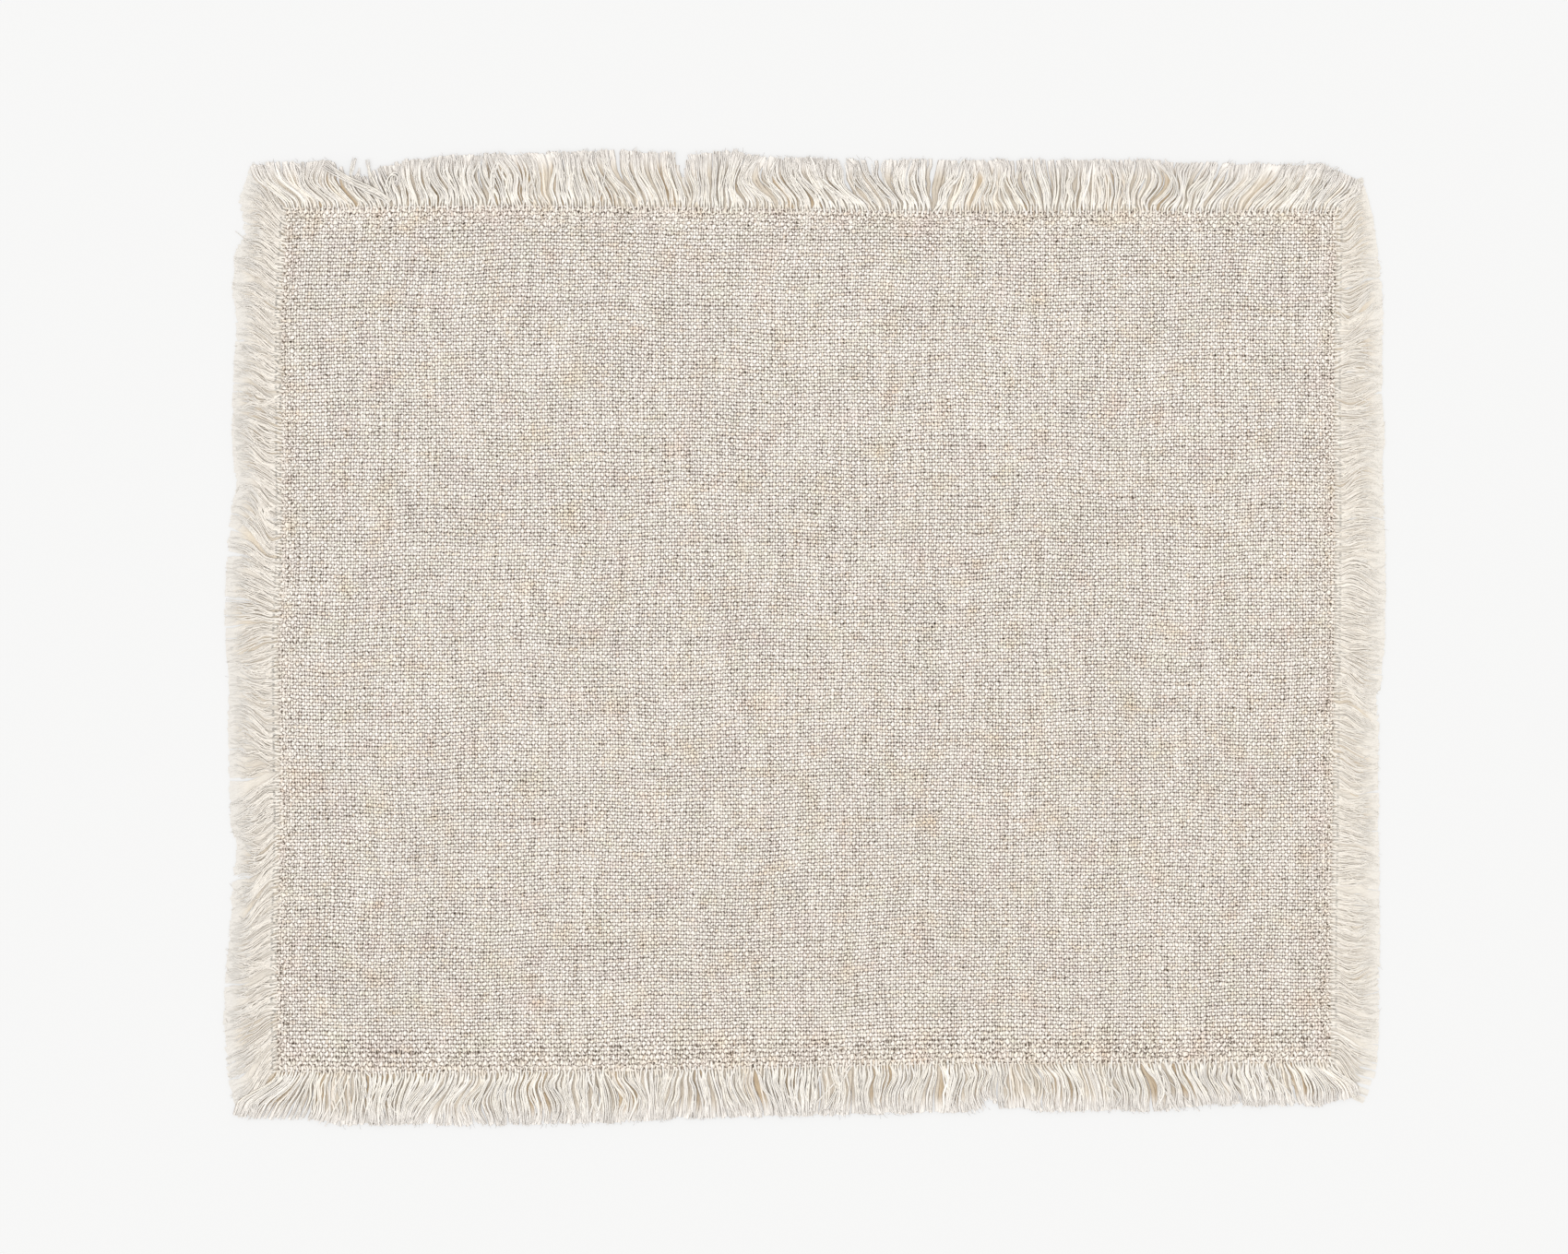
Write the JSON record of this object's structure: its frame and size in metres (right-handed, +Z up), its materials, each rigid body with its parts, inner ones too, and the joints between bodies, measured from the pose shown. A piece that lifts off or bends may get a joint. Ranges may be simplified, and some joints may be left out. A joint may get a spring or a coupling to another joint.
{
  "type": "fringed woven placemat",
  "caption": "Flat rectangular placemat of coarse plain-woven natural cloth, with a short self fringe on all four sides.",
  "frame": {"origin": "middle of the mat on its underside, where it rests on the table", "axes": "+X along the long sides, +Y towards the far long side, +Z up through the cloth"},
  "size_m": [0.4606, 0.3887, 0.0018],
  "materials": {
    "woven_cloth": "matte coarse plain weave, cream yarns over beige",
    "fringe_yarn": "matte loose cotton yarn ends, cream"
  },
  "bodies": {
    "root": {"cloth": "woven_cloth", "fringe_top": "fringe_yarn", "fringe_bottom": "fringe_yarn", "fringe_left": "fringe_yarn", "fringe_right": "fringe_yarn"}
  },
  "joints": []
}
